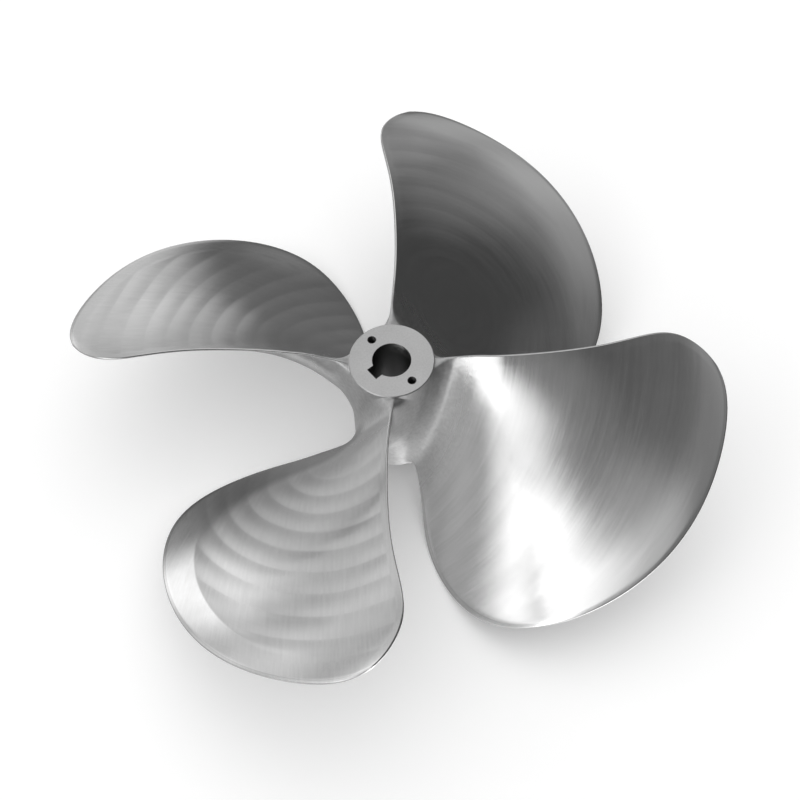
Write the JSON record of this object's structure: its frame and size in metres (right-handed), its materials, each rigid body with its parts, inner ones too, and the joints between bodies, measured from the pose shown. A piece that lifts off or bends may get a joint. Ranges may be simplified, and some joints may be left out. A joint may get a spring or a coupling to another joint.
{
  "type": "ship propeller",
  "caption": "Right-handed fixed-pitch ship propeller with broad skewed blades and a tapered, keyed bore, cast in one piece.",
  "frame": {"origin": "on the shaft's axis, level with the lowest points of the leading edges, on which it stands", "axes": "+Z along the shaft, pointing aft; +X along one blade's straight trailing edge"},
  "size_m": [0.7804, 0.7804, 0.2329],
  "materials": {
    "propeller": "ground bright metal with faint concentric grinding bands"
  },
  "bodies": {
    "root": {"propeller": "propeller"}
  },
  "joints": []
}
